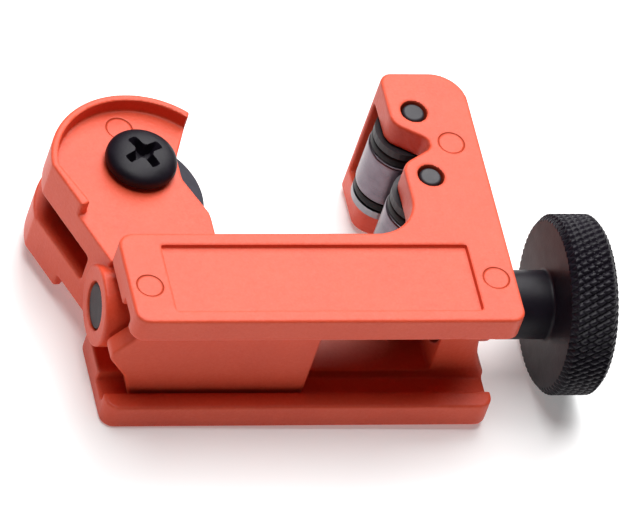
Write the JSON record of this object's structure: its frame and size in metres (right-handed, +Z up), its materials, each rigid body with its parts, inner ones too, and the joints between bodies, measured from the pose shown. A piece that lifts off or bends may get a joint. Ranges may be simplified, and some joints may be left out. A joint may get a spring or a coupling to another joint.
{
  "type": "pipe cutter",
  "caption": "Small hand pipe cutter: die-cast frame with rollers, a sliding jaw that holds the cutting wheel, and a feed screw with a knurled knob.",
  "frame": {"origin": "on the floor plane under the middle of the object's box", "axes": "+X along the feed screw towards the knob, +Y towards the open side of the C frame, +Z up along the roller axes"},
  "size_m": [0.068, 0.04, 0.0224],
  "materials": {
    "orange_painted_casting": "satin",
    "black_oxide_steel": "black oxide",
    "ground_roller_steel": "ground",
    "dark_pin_steel": "dark",
    "hardened_wheel_steel": "ground",
    "black_collar_plastic": "matte",
    "zinc_washer_steel": "bright",
    "sintered_bronze": "matte"
  },
  "bodies": {
    "frame_body": {"frame": "orange_painted_casting", "roller_pin_far": "dark_pin_steel", "roller_pin_near": "dark_pin_steel", "roller_shim_far_top": "zinc_washer_steel", "roller_shim_far_bottom": "zinc_washer_steel", "roller_shim_near_top": "zinc_washer_steel", "roller_shim_near_bottom": "zinc_washer_steel", "thrust_washer": "zinc_washer_steel", "clip_washer": "zinc_washer_steel"},
    "jaw_body": {"jaw": "orange_painted_casting", "wheel_bush": "sintered_bronze", "wheel_screw": "black_oxide_steel"},
    "wheel_body": {"cutter_wheel": "hardened_wheel_steel"},
    "roller_far_body": {"roller_sleeve_far": "ground_roller_steel", "roller_bush_far_top": "black_collar_plastic", "roller_bush_far_bottom": "black_collar_plastic"},
    "roller_near_body": {"roller_sleeve_near": "ground_roller_steel", "roller_bush_near_top": "black_collar_plastic", "roller_bush_near_bottom": "black_collar_plastic"},
    "feed_body": {"feed_screw": "black_oxide_steel", "knob": "black_oxide_steel", "knob_peg": "dark_pin_steel", "retaining_clip": "dark_pin_steel"}
  },
  "joints": [
    {"name": "jaw_slide", "type": "slide", "parent": "frame_body", "child": "jaw_body", "axis": [1, 0, 0], "range_m": [-0.0016, 0.016]},
    {"name": "knob_turn", "type": "hinge", "parent": "frame_body", "child": "feed_body", "pos_m": [0.02462, -0.0088, 0.0112], "axis": [-1, 0, 0], "range_deg": [-578, 5762]},
    {"name": "wheel_spin", "type": "hinge", "parent": "jaw_body", "child": "wheel_body", "pos_m": [-0.02218, 0.00865, 0.0112], "axis": [0, 0, 1], "continuous": true},
    {"name": "roller_far_spin", "type": "hinge", "parent": "frame_body", "child": "roller_far_body", "pos_m": [0.01327, 0.0138, 0.0112], "axis": [0, 0, 1], "continuous": true},
    {"name": "roller_near_spin", "type": "hinge", "parent": "frame_body", "child": "roller_near_body", "pos_m": [0.01327, 0.0035, 0.0112], "axis": [0, 0, 1], "continuous": true}
  ],
  "couplings": [
    {"joint": "knob_turn", "follows": "jaw_slide", "rad_per_m": 6283.2}
  ]
}
